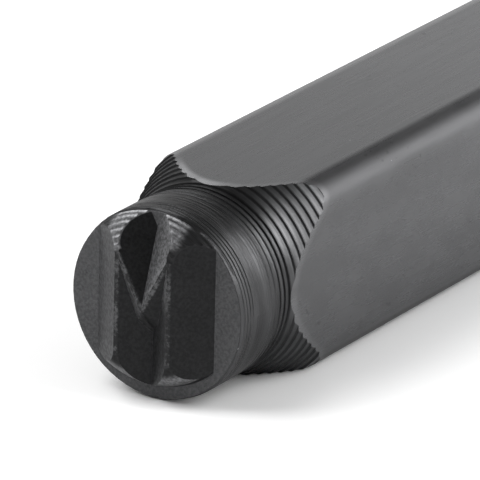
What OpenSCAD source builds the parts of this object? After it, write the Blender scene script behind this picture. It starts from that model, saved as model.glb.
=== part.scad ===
// Steel letter punch: a square bar with one end turned down to a round neck,
// and a raised letter cut into the end of that neck.
// All sizes are in millimetres. The punch lies on one flat of its shank, with
// its length along Y, the letter at -Y and the struck end at +Y. The origin is
// under the middle of its length, on the surface that it lies on.

/* [Shank] */
// Width across the flats of the square shank
shank_side = 9.5; // [9.5:0.1:13]
// Radius along the four long edges of the shank
shank_edge_radius = 1.4; // [0.8:0.1:2]
// Length from the letter to the struck face
overall_length = 66; // [50:1:90]

/* [Struck end] */
// Diameter of the flat face that the hammer hits
struck_face_d = 8.2; // [6:0.1:9]
// Angle of the turned bevel around that face, from the punch's axis
struck_bevel_angle = 40; // [30:1:60]

/* [Neck] */
// Diameter of the turned neck
neck_d = 9.46; // [8.8:0.02:9.48]
// Length of the neck, from the letter's floor to the start of the flare
neck_len = 4.3; // [3:0.1:8]
// Slope of the flare that runs out on the shank, from the punch's axis
flare_angle = 24; // [18:1:35]
// Radius that rounds the end of the neck, around the letter
nose_radius = 1.6; // [1.2:0.05:2]

/* [Turning marks] */
// Feed of the lathe tool that cut the flare, which is the pitch of its ridges
flare_feed = 0.41; // [0.3:0.01:0.46]
// Height of the step that each turn of the tool left
ridge_step = 0.1; // [0.04:0.01:0.12]
// Length of neck before the flare on which the steps grow to their height
ridge_lead = 2; // [0.6:0.1:2.4]
// Nose radius of the tool that rounded the nose
nose_tool_radius = 0.25; // [0.2:0.01:0.5]
// Angle between two cuts around the nose
nose_cut_angle = 11; // [9:1:13]
// Number of fine grooves behind the nose
groove_count = 4; // [1:1:5]
// Pitch of those grooves
groove_pitch = 0.25; // [0.16:0.01:0.3]
// Depth of those grooves
groove_depth = 0.05; // [0.03:0.01:0.07]

/* [Letter] */
// Depth from the letter's crest to the floor around it
relief_depth = 1.33; // [0.8:0.01:1.4]
// Slope of the letter's flanks, from the floor
flank_angle = 38; // [34:1:45]
// Width of the flat crest of each stroke
crest_w = 0.18; // [0.16:0.02:0.5]
// Distance between the crests of the two legs
leg_spacing = 2.86; // [2.4:0.02:3.4]
// How far the round that eases the letter's foot is set above the punch's axis
foot_ease = 0.7; // [0:0.1:1]
// Distance from the punch's axis up to where the diagonals meet the legs
shoulder_rise = 2.8; // [2.4:0.1:3]
// Distance from the punch's axis up to the point where the diagonals meet
vertex_rise = 0.13; // [-0.6:0.01:0.8]

/* [Hidden] */
$fn = 128;

steel = [0.27, 0.28, 0.29];

// The punch is drawn upright, with its struck face on z = 0 and its letter up
crest_z = overall_length;
floor_z = crest_z - relief_depth;
flare_start_z = floor_z - neck_len;
neck_r = neck_d / 2;

// Reach of the shank's rounded edges, measured from the axis
edge_centre = shank_side / 2 - shank_edge_radius;
corner_r = edge_centre * sqrt(2) + shank_edge_radius;
// Radius of a blank that clears the shank everywhere
clear_r = shank_side;
flare_end_z = flare_start_z - (clear_r - neck_r) / tan(flare_angle);
struck_bevel_z = (clear_r - struck_face_d / 2) / tan(struck_bevel_angle);

// Ridges: a stair of long treads and short steps that face the letter
ridge_start_z = flare_start_z + ridge_lead;
ridge_end_z = flare_start_z - (corner_r - neck_r) / tan(flare_angle);
ridge_count = ceil((ridge_start_z - ridge_end_z) / flare_feed);
step_run = 0.03;

// Cuts around the nose: each is a circle that meets the next one just under the outline
crest_drop = 0.015;
nose_centre_r = neck_r - nose_radius;
nose_centre_z = crest_z - nose_radius;
nose_chord = 2 * nose_radius * sin(nose_cut_angle / 2);
nose_cut_sink = sqrt(pow(nose_tool_radius, 2) - pow(nose_chord / 2, 2)) - crest_drop;
nose_cut_count = floor(90 / nose_cut_angle);

// Letter
flank_slope = tan(flank_angle);
sink = 0.4;
stroke_depth = relief_depth + sink;
stroke_spread = stroke_depth / flank_slope;
leg_reach = shank_side;
diagonal_angle = atan(leg_spacing / 2 / (shoulder_rise - vertex_rise));
diagonal_len = (shoulder_rise - vertex_rise) / cos(diagonal_angle);
notch_pitch_angle = atan(flank_slope * sin(diagonal_angle));
notch_wall_slope = flank_slope * cos(diagonal_angle) * cos(notch_pitch_angle);
notch_start = vertex_rise + crest_w / 2 / sin(diagonal_angle);

// Square bar with rounded long edges
module shank_section() {
    square([shank_side, 2 * edge_centre], center = true);
    square([2 * edge_centre, shank_side], center = true);
    for (x = [-1, 1], y = [-1, 1]) {
        translate([x * edge_centre, y * edge_centre]) circle(r = shank_edge_radius);
    }
}

// Half outline of a post that ends in the rounded nose, on top of the points below it
module round_nose(below) {
    polygon(concat(below, [
        [neck_r, nose_centre_z],
        [nose_centre_r, nose_centre_z],
        [nose_centre_r, crest_z],
        [0, crest_z]
    ]));
    intersection() {
        translate([nose_centre_r, nose_centre_z]) circle(r = nose_radius);
        translate([nose_centre_r, nose_centre_z] - [1, 1] * nose_radius / 2) square(2 * nose_radius);
    }
}

// Half outline of everything that the lathe left standing
module turned_outline() {
    round_nose([
        [0, 0],
        [struck_face_d / 2, 0],
        [clear_r, struck_bevel_z],
        [clear_r, flare_end_z],
        for (i = [ridge_count : -1 : 1]) each [crest_point(i), root_point(i)],
        [neck_r, ridge_start_z]
    ]);
}

// Height of a ridge's crest, its radius there, and the height of the step below it
function ridge_z(i) = ridge_start_z - i * flare_feed;
function flare_r(z) = neck_r + max(0, flare_start_z - z) * tan(flare_angle);
function step_height(z) = ridge_step * min(1, (ridge_start_z - z) / ridge_lead);

// Outline of one ridge, from its crest down to the root in front of it
function crest_point(i) = [flare_r(ridge_z(i)), ridge_z(i)];
function root_point(i) = crest_point(i) + [-step_height(ridge_z(i)), step_run];

module nose_cuts() {
    for (i = [0 : nose_cut_count - 1]) {
        angle = 90 - (i + 0.5) * nose_cut_angle;
        reach = nose_radius * cos(nose_cut_angle / 2) + nose_cut_sink;
        translate([nose_centre_r + reach * cos(angle), nose_centre_z + reach * sin(angle)])
            circle(r = nose_tool_radius);
    }
}

module neck_grooves() {
    for (i = [0 : groove_count - 1]) {
        translate([neck_r, floor_z - (i + 1) * groove_pitch]) circle(r = groove_depth);
    }
}

module turned_blank() {
    rotate_extrude() difference() {
        turned_outline();
        nose_cuts();
        neck_grooves();
    }
}

// One stroke of the letter: a flat crest with a sloping flank on either side
module stroke(len) {
    rotate([-90, 0, 0]) linear_extrude(height = len) polygon([
        [-crest_w / 2, 0],
        [crest_w / 2, 0],
        [crest_w / 2 + stroke_spread, stroke_depth],
        [-crest_w / 2 - stroke_spread, stroke_depth]
    ]);
}

// The notch between the diagonals, which sinks as it runs out over the top
module notch_cut() {
    translate([0, notch_start, 0]) rotate([-90 - notch_pitch_angle, 0, 0])
        linear_extrude(height = leg_reach) polygon([
            [0, 0],
            [leg_reach, -leg_reach * notch_wall_slope],
            [-leg_reach, -leg_reach * notch_wall_slope]
        ]);
}

module letter_legs() {
    difference() {
        for (side = [-1, 1]) {
            translate([side * leg_spacing / 2, -leg_reach, 0]) stroke(2 * leg_reach);
        }
        notch_cut();
    }
}

module letter_diagonals() {
    for (side = [-1, 1]) {
        translate([0, vertex_rise, 0]) rotate([0, 0, -side * diagonal_angle]) stroke(diagonal_len);
    }
    translate([0, vertex_rise, -stroke_depth])
        cylinder(h = stroke_depth, r1 = crest_w / 2 + stroke_spread, r2 = crest_w / 2);
}

// The letter, with its foot eased by a second round that is set off from the axis
module letter() {
    intersection() {
        union() {
            letter_legs();
            letter_diagonals();
        }
        translate([0, foot_ease, -crest_z])
            rotate_extrude() round_nose([[0, floor_z - sink], [neck_r, floor_z - sink]]);
    }
}

// What the letter cutter left standing: the bar up to the floor, and the letter
module cut_form() {
    translate([-clear_r, -clear_r, -1]) cube([2 * clear_r, 2 * clear_r, floor_z + 1]);
    translate([0, 0, crest_z]) letter();
}

module upright_punch() {
    intersection() {
        linear_extrude(height = overall_length) shank_section();
        turned_blank();
        cut_form();
    }
}

module letter_punch() {
    color(steel) translate([0, 0, shank_side / 2]) rotate([90, 0, 0])
        translate([0, 0, -overall_length / 2]) upright_punch();
}

letter_punch();
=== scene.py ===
"""A steel letter punch: blackened steel with drawn flats, a turned neck and a cut letter.

The punch is one forged and turned piece, so its solid comes from the frame as it is, and this script
gives it its finish, a plain pale floor, soft studio light and the camera. All lengths are in metres
unless a name says otherwise.
"""

import logging
import math
from dataclasses import dataclass, field
from enum import Enum

import bpy
from mathutils import Matrix, Vector


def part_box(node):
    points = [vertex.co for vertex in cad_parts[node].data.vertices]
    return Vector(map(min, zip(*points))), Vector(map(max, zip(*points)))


LOG = logging.getLogger("letter_punch")
MM = 0.001
PUNCH = "letter_punch"

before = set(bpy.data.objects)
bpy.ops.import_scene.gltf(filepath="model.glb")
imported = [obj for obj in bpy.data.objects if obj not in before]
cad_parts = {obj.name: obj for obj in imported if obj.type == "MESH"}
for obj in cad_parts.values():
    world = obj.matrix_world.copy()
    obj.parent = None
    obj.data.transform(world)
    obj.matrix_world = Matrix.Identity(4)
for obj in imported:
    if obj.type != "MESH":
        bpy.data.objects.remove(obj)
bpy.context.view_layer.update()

Socket = bpy.types.NodeSocket
Value = float | tuple[float, ...] | Socket

NOISE_SPAN = (0.3, 0.7)


@dataclass(frozen=True)
class Fade:
    """A smooth change of a number from low to high, while another one goes from start to end."""

    start: float
    end: float
    low: float = 0.0
    high: float = 1.0


class Wiring:
    """Adds nodes to one shader tree and joins them."""

    def __init__(self, tree: bpy.types.NodeTree) -> None:
        """Starts to wire a tree.

        Args:
            tree: The material's, the world's or the group's node tree.
        """
        self.tree = tree

    def feed(self, node: bpy.types.Node, name: str | int, value: Value) -> None:
        """Gives one input of a node its value.

        Args:
            node: The node whose input it is.
            name: The input's name or number.
            value: A number or a colour to set, or another node's output to link.
        """
        if isinstance(value, Socket):
            self.tree.links.new(value, node.inputs[name])
        else:
            node.inputs[name].default_value = value

    def add(self, kind: str, inputs: dict | None = None, **settings: object) -> bpy.types.Node:
        """Adds a node.

        Args:
            kind: The node's type, without its ShaderNode prefix.
            inputs: What each named input gets.
            settings: The node's own settings, such as operation.

        Returns:
            The new node.
        """
        node = self.tree.nodes.new("ShaderNode" + kind)
        for name, value in settings.items():
            setattr(node, name, value)
        for name, value in (inputs or {}).items():
            self.feed(node, name, value)
        return node

    def calc(self, operation: str, *values: Value) -> Socket:
        """Works out one number.

        Args:
            operation: A Math node's operation.
            values: Its operands.

        Returns:
            The result.
        """
        return self.add("Math", dict(enumerate(values)), operation=operation).outputs[0]

    def total(self, *values: Value) -> Socket:
        """Adds up several numbers."""
        result = values[0]
        for value in values[1:]:
            result = self.calc("ADD", result, value)
        return result

    def product(self, *values: Value) -> Socket:
        """Multiplies several numbers."""
        result = values[0]
        for value in values[1:]:
            result = self.calc("MULTIPLY", result, value)
        return result

    def minus(self, a: Value, b: Value) -> Socket:
        """Takes the second number from the first."""
        return self.calc("SUBTRACT", a, b)

    def rest(self, value: Value) -> Socket:
        """Finds what is left of 1."""
        return self.calc("SUBTRACT", 1.0, value)

    def highest(self, *values: Value) -> Socket:
        """Finds the highest of several numbers."""
        result = values[0]
        for value in values[1:]:
            result = self.calc("MAXIMUM", result, value)
        return result

    def length(self, a: Value, b: Value) -> Socket:
        """Finds the length of a step that goes a one way and b across it."""
        return self.calc("SQRT", self.total(self.product(a, a), self.product(b, b)))

    def ramp(self, value: Value, start: Value, end: Value, low: Value = 0.0, high: Value = 1.0) -> Socket:
        """Turns a number smoothly from low to high as it goes from start to end.

        Args:
            value: The number.
            start: Where it leaves low.
            end: Where it reaches high.
            low: The result up to the start.
            high: The result past the end.

        Returns:
            The result.
        """
        inputs = {"Value": value, "From Min": start, "From Max": end, "To Min": low, "To Max": high}
        return self.add("MapRange", inputs, interpolation_type="SMOOTHSTEP").outputs["Result"]

    def fade(self, value: Value, fade: Fade) -> Socket:
        """Turns a number as a fade says."""
        return self.ramp(value, fade.start, fade.end, fade.low, fade.high)

    def spread(self, noise: Value, ends: tuple[float, float]) -> Socket:
        """Spreads an even noise between two ends."""
        return self.ramp(noise, *NOISE_SPAN, *ends)

    def blend(self, amount: Value, a: Value, b: Value) -> Socket:
        """Mixes two numbers.

        Args:
            amount: 0 for a, 1 for b.
            a: The first number.
            b: The second number.

        Returns:
            The mixed number.
        """
        return self.total(self.product(a, self.rest(amount)), self.product(b, amount))

    def stretched(self, x: Value, y: Value, z: Value) -> Socket:
        """Joins three numbers into a vector."""
        return self.add("CombineXYZ", {"X": x, "Y": y, "Z": z}).outputs["Vector"]

    def noise(self, vector: Value, scale: Value, detail: float, roughness: float = 0.5) -> Socket:
        """Makes an even noise round 0.5.

        Args:
            vector: Where it is read.
            scale: Its frequency.
            detail: Its octaves.
            roughness: How strong the finer octaves are.

        Returns:
            The noise's value.
        """
        inputs = {"Vector": vector, "Scale": scale, "Detail": detail, "Roughness": roughness}
        return self.add("TexNoise", inputs).outputs[0]


class Effect:
    """A node group with named inputs and outputs, built once and placed in each material that uses it."""

    name = ""
    inputs: dict[str, float] = {}
    outputs: tuple[str, ...] = ()

    def wire(self, w: Wiring, given: dict[str, Socket]) -> dict[str, Socket]:
        """Builds what is in the group.

        Args:
            w: The wiring of the group's tree.
            given: The group's inputs by name.

        Returns:
            The group's outputs by name.
        """
        raise NotImplementedError

    def tree(self) -> bpy.types.NodeTree:
        """Finds the group, or builds it the first time."""
        if self.name in bpy.data.node_groups:
            return bpy.data.node_groups[self.name]
        tree = bpy.data.node_groups.new(self.name, "ShaderNodeTree")
        for name, default in self.inputs.items():
            socket = tree.interface.new_socket(name, in_out="INPUT", socket_type="NodeSocketFloat")
            socket.default_value = default
        for name in self.outputs:
            tree.interface.new_socket(name, in_out="OUTPUT", socket_type="NodeSocketFloat")
        given = tree.nodes.new("NodeGroupInput")
        result = tree.nodes.new("NodeGroupOutput")
        w = Wiring(tree)
        made = self.wire(w, {name: given.outputs[name] for name in self.inputs})
        for name in self.outputs:
            w.feed(result, name, made[name])
        return tree

    def place(self, w: Wiring, **values: Value) -> dict[str, Socket]:
        """Places the group in a material.

        Args:
            w: The wiring of the material's tree.
            values: What its inputs get, by name with low dashes for spaces.

        Returns:
            Its outputs by name.
        """
        node = w.tree.nodes.new("ShaderNodeGroup")
        node.node_tree = self.tree()
        for name, value in values.items():
            w.feed(node, name.replace("_", " "), value)
        return {name: node.outputs[name] for name in self.outputs}


def place_mm(w: Wiring) -> tuple[Socket, Socket, Socket]:
    """Reads the place on the punch.

    Args:
        w: The wiring that reads it.

    Returns:
        x, y and z in millimetres, in the frame's axes.
    """
    point = w.add("TexCoord").outputs["Object"]
    per_mm = (1 / MM, 1 / MM, 1 / MM)
    scaled = w.add("VectorMath", {0: point, 1: per_mm}, operation="MULTIPLY").outputs["Vector"]
    parts = w.add("SeparateXYZ", {"Vector": scaled}).outputs
    return parts["X"], parts["Y"], parts["Z"]


def surface_way(w: Wiring) -> dict[str, Socket]:
    """Reads the direction of the surface.

    Args:
        w: The wiring that reads it.

    Returns:
        Its shares along X, Y and Z, in the frame's axes.
    """
    parts = w.add("SeparateXYZ", {"Vector": w.add("NewGeometry").outputs["Normal"]}).outputs
    return {axis: parts[axis] for axis in "XYZ"}


class PunchZones(Effect):
    """Tells the punch's regions apart: drawn bar, turned work, and the letter's floor, flanks, nose and crests.

    Its lengths are in millimetres. A slope is the share of the surface's direction that points along the
    punch to the letter's end.
    """

    name = "punch_zones"
    inputs = {
        "Front": -33.0,
        "Half Side": 4.75,
        "Relief": 1.33,
        "Neck End": 5.63,
        "Neck": 4.73,
        "Nose": 1.6,
        "Flare Slope": 0.445,
    }
    outputs = (
        "Bar",
        "Turned",
        "Floor",
        "Flank",
        "Nose",
        "Crest",
        "Lip",
        "Edge",
        "Neck",
        "Right",
        "Depth",
        "Radius",
    )
    letter_height = Fade(-0.04, -0.01)
    floor_height = Fade(0.06, 0.03)
    floor_slope = Fade(0.93, 0.98)
    flank_slope = Fade(0.35, 0.5)
    crest_depth = Fade(0.06, 0.0)
    nose_depth = Fade(0.13, 0.09)
    nose_reach = Fade(0.0, 0.1)
    bar_run = Fade(0.0, 0.1)
    bar_slope = Fade(0.10, 0.04)
    flat_depth = Fade(0.02, 0.008)
    edge_reach = Fade(0.02, 0.06)
    edge_depth = Fade(0.0, 0.24)
    neck_run = Fade(0.3, -0.6)
    # Where the painted highlight along the front curve of the top flat lies: near the curve, fading out to the
    # right.
    lip_rise = Fade(0.36, 0.14)
    lip_right = Fade(2.0, -0.6, 0.15, 1.0)
    lip_left = Fade(-3.3, -2.0, 0.1, 1.0)
    # Share of the turned work's surface facing right, which sets its painted light and painted shade.
    right_share = Fade(0.3, 0.8)

    def wire(self, w: Wiring, given: dict[str, Socket]) -> dict[str, Socket]:
        """Builds the masks, each from 0 to 1, and the place along and across the punch."""
        x, y, z = place_mm(w)
        height = w.minus(z, given["Half Side"])
        depth = w.minus(y, given["Front"])
        radius = w.length(x, height)
        run = w.minus(depth, given["Neck End"])
        slope = w.product(surface_way(w)["Y"], -1.0)

        above_floor = w.minus(given["Relief"], depth)
        letter = w.fade(above_floor, self.letter_height)
        floor = w.product(letter, w.fade(slope, self.floor_slope), w.fade(above_floor, self.floor_height))
        cut = w.product(letter, w.rest(floor))
        rounded = w.product(letter, self.rounded(w, given, depth, radius))
        flank = w.product(cut, w.fade(slope, self.flank_slope), w.rest(rounded))
        nose = w.product(cut, w.rest(flank))

        across = w.highest(w.calc("ABSOLUTE", x), w.calc("ABSOLUTE", height))
        below_flat = w.minus(given["Half Side"], across)
        on_flat = w.fade(below_flat, self.flat_depth)
        on_edge = w.fade(w.minus(radius, given["Half Side"]), self.edge_reach)
        level = w.fade(w.calc("ABSOLUTE", slope), self.bar_slope)
        bar = w.product(w.fade(run, self.bar_run), level, w.highest(on_flat, on_edge))
        turned = w.highest(w.rest(w.total(bar, floor, flank, nose)), 0.0)

        flare = w.total(given["Neck"], w.product(run, given["Flare Slope"]))
        # The band of the flats next to the flare, which carries a painted highlight.
        lip_highlight = w.product(bar, w.fade(w.minus(flare, radius), self.lip_rise))
        return {
            "Bar": bar,
            "Turned": turned,
            "Floor": floor,
            "Flank": flank,
            "Nose": nose,
            "Crest": w.fade(depth, self.crest_depth),
            "Lip": w.product(lip_highlight, w.fade(x, self.lip_right), w.fade(x, self.lip_left)),
            "Edge": w.product(bar, w.fade(below_flat, self.edge_depth)),
            "Neck": w.product(turned, w.fade(run, self.neck_run)),
            # Right feeds the painted light on the right of the turned work and the painted shade on its top.
            "Right": w.fade(w.calc("DIVIDE", x, radius), self.right_share),
            "Depth": depth,
            "Radius": radius,
        }

    def rounded(self, w: Wiring, given: dict[str, Socket], depth: Socket, radius: Socket) -> Socket:
        """Finds the skin of the rounded nose.

        Args:
            w: The wiring of the group's tree.
            given: The group's inputs by name.
            depth: The distance behind the letter's crests.
            radius: The distance from the punch's axis.

        Returns:
            1 on the skin, and 0 away from it.
        """
        beside = w.minus(radius, w.minus(given["Neck"], given["Nose"]))
        from_centre = w.length(beside, w.minus(given["Nose"], depth))
        buried = w.minus(given["Nose"], from_centre)
        return w.product(w.fade(buried, self.nose_depth), w.fade(beside, self.nose_reach))


class RubbedAndPaintedLightSpots(Effect):
    """The places in and round the letter that are lighter in tone. On the lobes of the nose the oxide is partly
    worn thin and partly a painted highlight; on the left-facing walls, the outer flank of the left leg and the
    foot the lighter tone is painted light, and in the valley beside the left leg it is a painted reflection.

    Its lengths are in millimetres from the punch's axis, and a turn is the share of the surface's direction
    that points to the right or up.
    """

    name = "rubbed_and_painted_light_spots"
    inputs = {"Half Side": 4.75, "Flank": 0.0, "Nose": 0.0}
    outputs = ("Mask",)
    lobe_share = 0.72
    lobe_left = Fade(-2.5, -2.0)
    lobe_right = Fade(2.0, 1.6)
    lobe_bottom = Fade(-0.5, 0.5, 2.5, 3.25)
    lobe_softness = 0.4
    left_turn = Fade(-0.25, -0.45)
    wall_left = Fade(-0.4, 0.0)
    wall_height = Fade(0.0, 1.2, 0.35, 1.0)
    outer_share = 0.4
    outer_left = Fade(-1.2, -1.5)
    foot_share = 0.85
    foot_turn = Fade(-0.4, -0.6)
    foot_height = Fade(-1.5, -2.0)
    valley_side = Fade(0.1, -0.05)
    valley_turn = Fade(-0.1, -0.2)
    valley_height = Fade(-1.8, -1.5)
    valley_share = Fade(-0.1, -0.45, 0.3, 0.85)

    def wire(self, w: Wiring, given: dict[str, Socket]) -> dict[str, Socket]:
        """Builds the mask from the lobes of the nose, three flanks and the foot."""
        x, _, z = place_mm(w)
        height = w.minus(z, given["Half Side"])
        way = surface_way(w)
        flank = given["Flank"]
        bottom = w.fade(x, self.lobe_bottom)
        # The lobes: partly worn oxide, partly a painted highlight.
        lobes = w.product(given["Nose"], w.fade(x, self.lobe_left), w.fade(x, self.lobe_right))
        lobes = w.product(lobes, w.ramp(height, bottom, w.total(bottom, self.lobe_softness)), self.lobe_share)
        # Left-facing walls and the left leg's outer flank: lighter by painted light.
        left_flank = w.product(flank, w.fade(way["X"], self.left_turn))
        wall = w.product(left_flank, w.fade(height, self.wall_height), w.fade(x, self.wall_left))
        outer = w.product(left_flank, w.fade(x, self.outer_left), self.outer_share)
        # The foot: lighter by painted light.
        foot = w.product(flank, w.fade(way["Z"], self.foot_turn), w.fade(height, self.foot_height))
        # The valley beside the left leg: a painted reflection.
        valley = w.product(flank, w.fade(way["X"], self.valley_side), w.fade(way["Z"], self.valley_turn))
        valley = w.product(valley, w.fade(height, self.valley_height), w.fade(way["X"], self.valley_share))
        return {"Mask": w.highest(lobes, wall, outer, w.product(foot, self.foot_share), valley)}


class TurningLines(Effect):
    """Fine lines round the axis, as a lathe tool leaves them, and the shape of the treads between the ridges.

    The places where the ridges start and end are counted in ridges.
    """

    name = "turning_lines"
    inputs = {"Depth": 0.0, "Radius": 4.7, "Frequency": 8.0, "Ridge Start": 3.63, "Feed": 0.41}
    outputs = ("Height", "Streak", "Hollow", "Tread", "Flare", "Root")
    fine_round = 0.22
    fine_share = 0.7
    broad_round = 0.35
    broad_along = 0.22
    broad_share = 0.6
    lead_growth = Fade(0.0, 4.9)
    lead_end = Fade(5.6, 4.9)
    flare_start = Fade(1.0, 4.0)
    flare_end = Fade(24.0, 20.0)
    # Where the ridges' roots lie, which get painted shade.
    root_place = Fade(0.28, 0.42)

    def wire(self, w: Wiring, given: dict[str, Socket]) -> dict[str, Socket]:
        """Builds the lines from a noise that is drawn out round the axis."""
        x, _, z = place_mm(w)
        along = w.product(w.minus(given["Depth"], given["Radius"]), given["Frequency"])
        fine_place = w.stretched(w.product(x, self.fine_round), along, w.product(z, self.fine_round))
        fine = w.noise(fine_place, 1.0, detail=3.0, roughness=0.6)
        broad_place = w.stretched(
            w.product(x, self.broad_round),
            w.product(along, self.broad_along),
            w.product(z, self.broad_round),
        )
        broad = w.noise(broad_place, 1.0, detail=2.0)
        turn = w.calc("DIVIDE", w.minus(given["Depth"], given["Ridge Start"]), given["Feed"])
        gone = w.calc("FRACT", turn)
        across = w.minus(gone, 0.5)
        flare = w.product(w.fade(turn, self.flare_start), w.fade(turn, self.flare_end))
        return {
            "Height": w.total(w.product(fine, self.fine_share), w.product(broad, self.broad_share)),
            "Streak": broad,
            "Hollow": w.product(across, across, flare),
            "Tread": w.product(gone, w.fade(turn, self.lead_growth), w.fade(turn, self.lead_end)),
            "Flare": flare,
            "Root": w.product(flare, w.fade(w.calc("ABSOLUTE", across), self.root_place)),
        }


class DrawnGrain(Effect):
    """Faint lines along the bar, as drawing and grinding leave them on the flats."""

    name = "drawn_grain"
    inputs = {"Frequency": 5.0, "Along": 0.045}
    outputs = ("Height",)

    def wire(self, w: Wiring, given: dict[str, Socket]) -> dict[str, Socket]:
        """Builds the lines from a noise that is drawn out along the bar."""
        x, y, z = place_mm(w)
        place = w.stretched(x, w.product(y, given["Along"]), z)
        return {"Height": w.noise(place, given["Frequency"], detail=4.0, roughness=0.65)}


class OxideMottle(Effect):
    """Cloudy changes in the tone of the oxide, with small darker pits in them."""

    name = "oxide_mottle"
    inputs = {"Cloud Frequency": 0.55, "Pit Frequency": 3.2, "Patch Frequency": 0.23, "Along": 0.6}
    outputs = ("Cloud", "Pits")
    pit_level = Fade(0.60, 0.72)
    patch_level = Fade(0.52, 0.62)

    def wire(self, w: Wiring, given: dict[str, Socket]) -> dict[str, Socket]:
        """Builds the clouds, and the pits, which come in patches."""
        x, y, z = place_mm(w)
        place = w.stretched(x, w.product(y, given["Along"]), z)
        cloud = w.noise(place, given["Cloud Frequency"], detail=5.0, roughness=0.55)
        fine = w.noise(place, given["Pit Frequency"], detail=3.0, roughness=0.6)
        patch = w.noise(place, given["Patch Frequency"], detail=2.0)
        pits = w.product(w.fade(fine, self.pit_level), w.fade(patch, self.patch_level))
        return {"Cloud": cloud, "Pits": pits}


class StruckGrain(Effect):
    """The close grain that the sinking of the letter leaves on the floor round it."""

    name = "struck_grain"
    inputs = {"Frequency": 6.5}
    outputs = ("Height",)

    def wire(self, w: Wiring, given: dict[str, Socket]) -> dict[str, Socket]:
        """Builds the grain."""
        place = w.stretched(*place_mm(w))
        return {"Height": w.noise(place, given["Frequency"], detail=2.0, roughness=0.6)}


class PaleSpecks(Effect):
    """Tiny pale specks of bare metal and dust, far apart."""

    name = "pale_specks"
    inputs = {"Per Millimetre": 0.9, "Radius": 0.055, "Kept": 0.17}
    outputs = ("Mask",)
    solid_share = 0.5

    def wire(self, w: Wiring, given: dict[str, Socket]) -> dict[str, Socket]:
        """Builds the specks at the points of a scattered lattice, of which a share is kept."""
        point = w.stretched(*place_mm(w))
        cells = w.add("TexVoronoi", {"Vector": point, "Scale": given["Per Millimetre"]})
        reach = w.calc("DIVIDE", cells.outputs["Distance"], given["Per Millimetre"])
        near = w.ramp(reach, given["Radius"], w.product(given["Radius"], self.solid_share))
        lot = w.add("SeparateColor", {"Color": cells.outputs["Color"]}).outputs["Red"]
        return {"Mask": w.product(near, w.calc("LESS_THAN", lot, given["Kept"]))}


@dataclass(frozen=True)
class Surface:
    """How one region of the punch takes the light."""

    tone: float
    roughness: float


@dataclass(frozen=True)
class Heights:
    """How high the fine texture of each region stands, in millimetres."""

    turned_lines: float = 0.02
    neck_lines: float = 0.06
    hollow: float = 0.09
    tread: float = 0.1
    drawn_lines: float = 0.0008
    floor_grain: float = 0.065
    flank_grain: float = 0.014
    pits: float = -0.0002
    specks: float = 0.01


@dataclass(frozen=True)
class Texture:
    """The regions and the patterns of one material, as its shader reads them."""

    zones: dict[str, Socket]
    lines: dict[str, Socket]
    drawn: Socket
    cloud: Socket
    pits: Socket
    grain: Socket
    # The lighter spots: partly worn oxide and partly painted light.
    rubbed_and_painted_light: Socket
    specks: Socket


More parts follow.
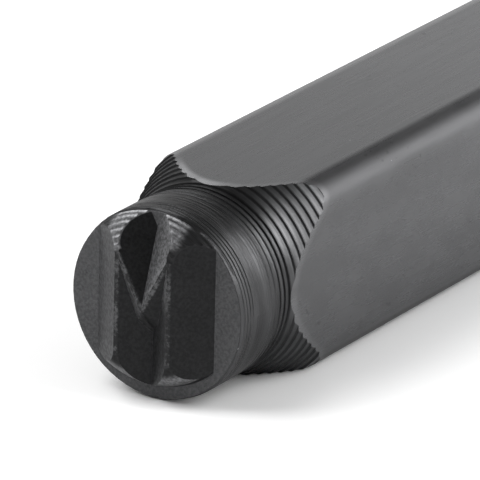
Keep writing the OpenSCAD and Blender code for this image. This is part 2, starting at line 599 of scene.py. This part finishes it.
@dataclass(frozen=True)
class BlackenedSteel:
    """Tool steel under a thin black oxide, satin, which has worn off the highest edges.

    A pair of numbers says how a pattern changes the tone or the roughness, from its low to its high places.
    Several tone changes are painted light and painted shade, each marked where it is set.
    """

    bar: Surface = Surface(tone=0.195, roughness=0.27)
    turned: Surface = Surface(tone=0.070, roughness=0.36)
    flank: Surface = Surface(tone=0.030, roughness=0.40)
    floor: Surface = Surface(tone=0.120, roughness=0.55)
    nose: Surface = Surface(tone=0.040, roughness=0.42)
    # Pale steel where the oxide is worn through; its tone also paints light in the lighter spots and the
    # painted highlight along the front curve of the top flat.
    bare_and_painted_light: Surface = Surface(tone=0.42, roughness=0.48)
    heights: Heights = Heights()
    metallic: float = 0.93
    glancing: float = 0.8
    tint: tuple[float, float, float] = (0.985, 0.99, 1.02)

    # Painted sheen: the bar's tone rises from its near end to its far end.
    painted_sheen_along_bar: Fade = Fade(4.0, 45.0, 0.87, 1.26)
    cloud_tone: tuple[float, float] = (0.94, 1.06)
    streak_tone: tuple[float, float] = (0.8, 1.2)
    grain_tone: tuple[float, float] = (0.82, 1.18)
    # Painted shade on top of the turned work and painted light on its right side.
    painted_side_light: Fade = Fade(0.0, 1.0, 0.6, 1.25)
    pitted: Fade = Fade(0.0, 1.0, 1.0, 0.72)
    # Painted shade on the rounded long edges of the bar, dimming their highlight.
    painted_edge_shade: Fade = Fade(0.0, 1.0, 1.0, 0.68)
    # Painted highlight on the flare's treads.
    painted_flare_highlight: float = 0.36
    # Painted shade in the roots of the flare's ridges.
    painted_root_shade: float = 0.5

    chipped: Fade = Fade(0.9, 1.24, 0.03, 0.27)
    # How much of the lighter spots shows, worn oxide and painted light alike.
    rubbed_and_painted_light_cover: tuple[float, float] = (0.32, 0.85)
    # Painted highlight along the front curve of the top flat: its cover and its gain over the pale tone.
    lip_highlight_cover: Fade = Fade(0.3, 0.55, 0.6, 1.0)
    lip_highlight_gain: float = 1.25

    cloud_roughness: tuple[float, float] = (-0.02, 0.02)
    drawn_roughness: tuple[float, float] = (-0.02, 0.02)
    edge_roughness: float = 0.2

    bar_softness_mm: float = 0.05
    turned_softness_mm: float = 0.02
    letter_softness_mm: float = 0.05
    edge_samples: int = 6

    def dress(self, punch: "Punch") -> bpy.types.Material:
        """Makes the material.

        Args:
            punch: The punch, for where its regions lie.

        Returns:
            The material.
        """
        material = bpy.data.materials.new("blackened_steel")
        material.use_nodes = True
        w = Wiring(material.node_tree)
        texture = self.texture(w, punch)
        bare_and_painted_light = self.bared_and_painted_light(w, texture)
        shader = material.node_tree.nodes["Principled BSDF"]
        w.feed(shader, "Base Color", self.colour(w, texture, bare_and_painted_light))
        w.feed(shader, "Metallic", self.metallic)
        w.feed(shader, "Specular Tint", (self.glancing, self.glancing, self.glancing, 1.0))
        w.feed(shader, "Roughness", self.roughness(w, texture, bare_and_painted_light))
        w.feed(shader, "Normal", self.normal(w, texture))
        return material

    def texture(self, w: Wiring, punch: "Punch") -> Texture:
        """Places the shared effects.

        Args:
            w: The material's wiring.
            punch: The punch, for where its regions lie.

        Returns:
            What they put out.
        """
        zones = PunchZones().place(
            w,
            Front=punch.front / MM,
            Half_Side=punch.half_side / MM,
            Relief=punch.relief / MM,
            Neck_End=punch.neck_end / MM,
            Neck=punch.neck_d / 2 / MM,
            Nose=punch.nose_radius / MM,
            Flare_Slope=math.tan(math.radians(punch.flare_angle_deg)),
        )
        lines = TurningLines().place(
            w,
            Depth=zones["Depth"],
            Radius=zones["Radius"],
            Ridge_Start=(punch.neck_end - punch.ridge_lead) / MM,
            Feed=punch.feed / MM,
        )
        rubbed_and_painted_light = RubbedAndPaintedLightSpots().place(
            w,
            Half_Side=punch.half_side / MM,
            Flank=zones["Flank"],
            Nose=zones["Nose"],
        )
        mottle = OxideMottle().place(w)
        return Texture(
            zones=zones,
            lines=lines,
            drawn=DrawnGrain().place(w)["Height"],
            cloud=mottle["Cloud"],
            pits=mottle["Pits"],
            grain=StruckGrain().place(w)["Height"],
            rubbed_and_painted_light=rubbed_and_painted_light["Mask"],
            specks=PaleSpecks().place(w)["Mask"],
        )

    def bared_and_painted_light(self, w: Wiring, texture: Texture) -> Socket:
        """Finds the pale places: chips on the crests and specks, where the oxide is worn through, and the
        lighter spots, which are partly worn and partly painted light.

        Args:
            w: The material's wiring.
            texture: The regions and patterns.

        Returns:
            0 where the oxide is whole, and 1 where it is worn through and where light is painted.
        """
        chips = w.fade(w.total(texture.cloud, texture.grain), self.chipped)
        worn = w.product(texture.zones["Crest"], chips)
        # The lighter spots, partly worn oxide and partly painted light.
        rubbed_and_painted_light = w.product(texture.rubbed_and_painted_light, w.spread(texture.grain, self.rubbed_and_painted_light_cover))
        return w.highest(worn, rubbed_and_painted_light, texture.specks)

    def colour(self, w: Wiring, texture: Texture, bare_and_painted_light: Socket) -> Socket:
        """Works out the colour.

        Args:
            w: The material's wiring.
            texture: The regions and patterns.
            bare_and_painted_light: Where the oxide is worn through, and where lighter spots are painted light.

        Returns:
            The colour over the surface.
        """
        zones, lines = texture.zones, texture.lines
        turned = zones["Turned"]
        struck = w.total(zones["Floor"], zones["Flank"])
        tone = w.product(
            self.by_zone(w, zones, "tone"),
            w.spread(texture.cloud, self.cloud_tone),
            w.fade(texture.pits, self.pitted),
            w.blend(turned, 1.0, w.spread(lines["Streak"], self.streak_tone)),
            w.blend(struck, 1.0, w.spread(texture.grain, self.grain_tone)),
            # Painted highlight on the flare's treads.
            w.total(1.0, w.product(turned, lines["Flare"], self.painted_flare_highlight)),
            # Painted shade on top of the turned work and painted light on its right side.
            w.blend(turned, 1.0, w.fade(zones["Right"], self.painted_side_light)),
            # Painted shade in the roots of the flare's ridges.
            w.rest(w.product(turned, lines["Root"], self.painted_root_shade)),
            # Painted sheen: the bar's tone rises from its near end to its far end.
            w.blend(zones["Bar"], 1.0, w.fade(zones["Depth"], self.painted_sheen_along_bar)),
            # Painted shade on the rounded long edges of the bar, dimming their highlight.
            w.fade(zones["Edge"], self.painted_edge_shade),
        )
        # Painted highlight along the front curve of the top flat.
        lip_highlight = w.product(zones["Lip"], w.fade(texture.cloud, self.lip_highlight_cover))
        tone = w.blend(bare_and_painted_light, w.blend(lip_highlight, tone, self.bare_and_painted_light.tone * self.lip_highlight_gain), self.bare_and_painted_light.tone)
        shares = {name: w.product(tone, share) for name, share in zip(("Red", "Green", "Blue"), self.tint)}
        return w.add("CombineColor", shares).outputs["Color"]

    def roughness(self, w: Wiring, texture: Texture, bare_and_painted_light: Socket) -> Socket:
        """Works out the roughness.

        Args:
            w: The material's wiring.
            texture: The regions and patterns.
            bare_and_painted_light: Where the oxide is worn through, and where lighter spots are painted light.

        Returns:
            The roughness over the surface.
        """
        oxide = w.total(
            self.by_zone(w, texture.zones, "roughness"),
            w.spread(texture.cloud, self.cloud_roughness),
            w.product(texture.zones["Bar"], w.spread(texture.drawn, self.drawn_roughness)),
            w.product(texture.zones["Edge"], self.edge_roughness),
        )
        return w.blend(bare_and_painted_light, oxide, self.bare_and_painted_light.roughness)

    def normal(self, w: Wiring, texture: Texture) -> Socket:
        """Works out the direction of the surface, with softened edges and fine texture.

        Args:
            w: The material's wiring.
            texture: The regions and patterns.

        Returns:
            The normal over the surface.
        """
        zones, lines, heights = texture.zones, texture.lines, self.heights
        line_height = w.total(
            w.product(zones["Turned"], heights.turned_lines),
            w.product(zones["Neck"], heights.neck_lines),
        )
        height = w.total(
            w.product(line_height, lines["Height"]),
            w.product(zones["Turned"], lines["Hollow"], heights.hollow),
            w.product(zones["Turned"], lines["Tread"], heights.tread),
            w.product(zones["Bar"], texture.drawn, heights.drawn_lines),
            w.product(zones["Floor"], texture.grain, heights.floor_grain),
            w.product(zones["Flank"], texture.grain, heights.flank_grain),
            w.product(texture.pits, heights.pits),
            w.product(texture.specks, heights.specks),
        )
        softness = w.blend(zones["Bar"], self.turned_softness_mm, self.bar_softness_mm)
        softness = w.blend(w.highest(zones["Flank"], zones["Crest"]), softness, self.letter_softness_mm)
        soft = w.add("Bevel", {"Radius": w.product(softness, MM)}, samples=self.edge_samples).outputs["Normal"]
        return w.add("Bump", {"Height": height, "Distance": MM, "Normal": soft}).outputs["Normal"]

    def by_zone(self, w: Wiring, zones: dict[str, Socket], what: str) -> Socket:
        """Adds up one property over the regions.

        Args:
            w: The material's wiring.
            zones: The masks of the regions.
            what: The property, as Surface names it.

        Returns:
            The property over the surface.
        """
        surfaces = {
            "Bar": self.bar,
            "Turned": self.turned,
            "Flank": self.flank,
            "Floor": self.floor,
            "Nose": self.nose,
        }
        return w.total(*(w.product(zones[name], getattr(surface, what)) for name, surface in surfaces.items()))


@dataclass
class Punch:
    """The punch itself, which is one solid of the frame."""

    relief: float = 1.33 * MM
    neck_len: float = 4.3 * MM
    neck_d: float = 9.46 * MM
    nose_radius: float = 1.6 * MM
    flare_angle_deg: float = 24.0
    ridge_lead: float = 2.0 * MM
    feed: float = 0.41 * MM
    finish: BlackenedSteel = BlackenedSteel()

    def __post_init__(self) -> None:
        """Takes the punch's place and size from the frame."""
        low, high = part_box(PUNCH)
        self.front = low[1]
        self.half_side = (high[0] - low[0]) / 2
        self.neck_end = self.relief + self.neck_len
        self.face_centre = Vector((0.0, self.front + self.relief, self.half_side))

    def dress(self) -> bpy.types.Object:
        """Gives the solid its finish.

        Returns:
            The solid.
        """
        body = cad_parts[PUNCH]
        body.data.materials.clear()
        body.data.materials.append(self.finish.dress(self))
        return body


@dataclass
class Viewpoint:
    """The photograph's camera, fitted to the bar's edges and to the rim of its turned end."""

    target: Vector
    azimuth_deg: float = 31.02
    elevation_deg: float = 19.77
    roll_deg: float = 1.25
    distance: float = 343.3 * MM
    sensor_mm: float = 36.0
    focal_px: float = 7308.0
    image_px: float = 480.0
    target_px: tuple[float, float] = (156.4, 304.9)
    nearest: float = 10 * MM

    def place(self) -> bpy.types.Object:
        """Makes the scene's camera.

        Returns:
            The camera, turned so that the target falls on its pixel.
        """
        a, e = math.radians(self.azimuth_deg), math.radians(self.elevation_deg)
        roll = math.radians(self.roll_deg)
        forward = Vector((-math.sin(a) * math.cos(e), math.cos(a) * math.cos(e), -math.sin(e)))
        level = Vector((math.cos(a), math.sin(a), 0.0))
        above = level.cross(forward)
        right = math.cos(roll) * level + math.sin(roll) * above
        up = math.cos(roll) * above - math.sin(roll) * level
        half = self.image_px / 2
        aside = (self.target_px[0] - half) / self.focal_px
        below = (self.target_px[1] - half) / self.focal_px
        data = bpy.data.cameras.new("camera")
        data.sensor_width = self.sensor_mm
        data.lens = self.focal_px / self.image_px * self.sensor_mm
        data.clip_start = self.nearest
        camera = bpy.data.objects.new("camera", data)
        axes = Matrix((right, up, -forward)).transposed().to_4x4()
        location = self.target - self.distance * (forward + aside * right - below * up)
        camera.matrix_world = Matrix.Translation(location) @ axes
        bpy.context.scene.collection.objects.link(camera)
        bpy.context.scene.camera = camera
        return camera


@dataclass(frozen=True)
class Softbox:
    """One area lamp behind a flat diffuser, seen from the punch in a given direction."""

    name: str
    azimuth_deg: float
    elevation_deg: float
    width: float
    height: float
    watts: float
    distance: float = 0.45

    def hang(self, centre: Vector) -> bpy.types.Object:
        """Makes the lamp.

        Args:
            centre: What it shines at.

        Returns:
            The lamp.
        """
        a, e = math.radians(self.azimuth_deg), math.radians(self.elevation_deg)
        way = Vector((math.sin(a) * math.cos(e), math.cos(a) * math.cos(e), math.sin(e)))
        data = bpy.data.lights.new(self.name, "AREA")
        data.shape = "RECTANGLE"
        data.size = self.width
        data.size_y = self.height
        data.energy = self.watts
        lamp = bpy.data.objects.new(self.name, data)
        lamp.location = centre + self.distance * way
        lamp.rotation_euler = way.to_track_quat("Z", "Y").to_euler()
        lamp.visible_camera = False
        bpy.context.scene.collection.objects.link(lamp)
        return lamp


class Ray(Enum):
    """The kinds of ray that see the white room as it is."""

    CAMERA = "Is Camera Ray"
    GLOSSY = "Is Glossy Ray"
    TRANSMISSION = "Is Transmission Ray"


def seen_directly(w: Wiring) -> Socket:
    """Tells the rays that see the room from those that only carry its light.

    Args:
        w: The wiring of the floor's material or of the world.

    Returns:
        1 for camera, glossy and transmission rays, and 0 for the others.
    """
    path = w.add("LightPath")
    return w.calc("MINIMUM", w.total(*(path.outputs[ray.value] for ray in Ray)), 1.0)


@dataclass
class Studio:
    """A white table and a white room, lit softly."""

    centre: Vector = field(default_factory=lambda: Vector((0.0, -22 * MM, 5 * MM)))
    table_size: float = 3.0
    table_tone: float = 0.8
    table_tone_shown: float = 1.1
    table_tone_mirrored: float = 0.69
    room_light: float = 0.3
    ceiling_seen: float = 0.12
    front_seen: float = 0.25
    front_turn: tuple[float, float] = (-0.45, 0.0)
    backdrop_top_deg: tuple[float, float] = (15.0, 29.0)
    lamps: tuple[Softbox, ...] = (
        Softbox("left", azimuth_deg=242, elevation_deg=50, width=0.40, height=0.40, watts=2.1),
        Softbox("right strip", azimuth_deg=82, elevation_deg=34, width=0.12, height=0.40, watts=0.75),
        Softbox("back right", azimuth_deg=42, elevation_deg=29, width=0.20, height=0.22, watts=0.65),
    )

    def floor(self) -> bpy.types.Object:
        """Makes the table, which shows white where the lamps reach it and keeps the punch's shadow.

        Returns:
            The table.
        """
        half = self.table_size / 2
        mesh = bpy.data.meshes.new("floor")
        corners = [(-half, -half, 0), (half, -half, 0), (half, half, 0), (-half, half, 0)]
        mesh.from_pydata(corners, [], [(0, 1, 2, 3)])
        table = bpy.data.objects.new("floor", mesh)
        material = bpy.data.materials.new("white_table")
        material.use_nodes = True
        w = Wiring(material.node_tree)
        material.node_tree.nodes.remove(material.node_tree.nodes["Principled BSDF"])
        camera = w.add("LightPath").outputs[Ray.CAMERA.value]
        seen = w.blend(camera, self.table_tone_mirrored, self.table_tone_shown)
        tone = w.blend(seen_directly(w), self.table_tone, seen)
        colour = w.add("CombineColor", {"Red": tone, "Green": tone, "Blue": tone}).outputs["Color"]
        paint = w.add("BsdfDiffuse", {"Color": colour}).outputs["BSDF"]
        w.feed(material.node_tree.nodes["Material Output"], "Surface", paint)
        mesh.materials.append(material)
        bpy.context.scene.collection.objects.link(table)
        return table

    def room(self) -> bpy.types.World:
        """Makes the room: a white backdrop behind and beside the punch, and a dim ceiling and front.

        Returns:
            The world.
        """
        world = bpy.data.worlds.new("studio")
        bpy.context.scene.world = world
        world.use_nodes = True
        w = Wiring(world.node_tree)
        way = w.add("SeparateXYZ", {"Vector": w.add("TexCoord").outputs["Generated"]}).outputs
        low, high = (math.sin(math.radians(angle)) for angle in self.backdrop_top_deg)
        side = w.ramp(way["Y"], *self.front_turn, self.front_seen, 1.0)
        backdrop = w.ramp(way["Z"], low, high, side, self.ceiling_seen)
        path = w.add("LightPath")
        shown = w.blend(path.outputs[Ray.CAMERA.value], backdrop, 1.0)
        background = world.node_tree.nodes["Background"]
        w.feed(background, "Color", (1.0, 1.0, 1.0, 1.0))
        w.feed(background, "Strength", w.blend(seen_directly(w), self.room_light, shown))
        return world

    def light(self) -> list[bpy.types.Object]:
        """Hangs the lamps.

        Returns:
            The lamps.
        """
        return [softbox.hang(self.centre) for softbox in self.lamps]


def plain_colours() -> None:
    """Shows colours as they are written."""
    bpy.context.scene.view_settings.view_transform = "Standard"


def main() -> None:
    """Builds the scene and reports each piece."""
    logging.basicConfig(level=logging.INFO, format="%(name)s: %(message)s")
    plain_colours()
    punch = Punch()
    body = punch.dress()
    LOG.info("%s dressed in %s", body.name, body.data.materials[0].name)
    camera = Viewpoint(punch.face_centre).place()
    LOG.info("%s placed, lens %.0f mm", camera.name, camera.data.lens)
    studio = Studio()
    table = studio.floor()
    studio.room()
    lamps = studio.light()
    LOG.info("%s and %d lamps placed", table.name, len(lamps))


if __name__ == "__main__":
    main()
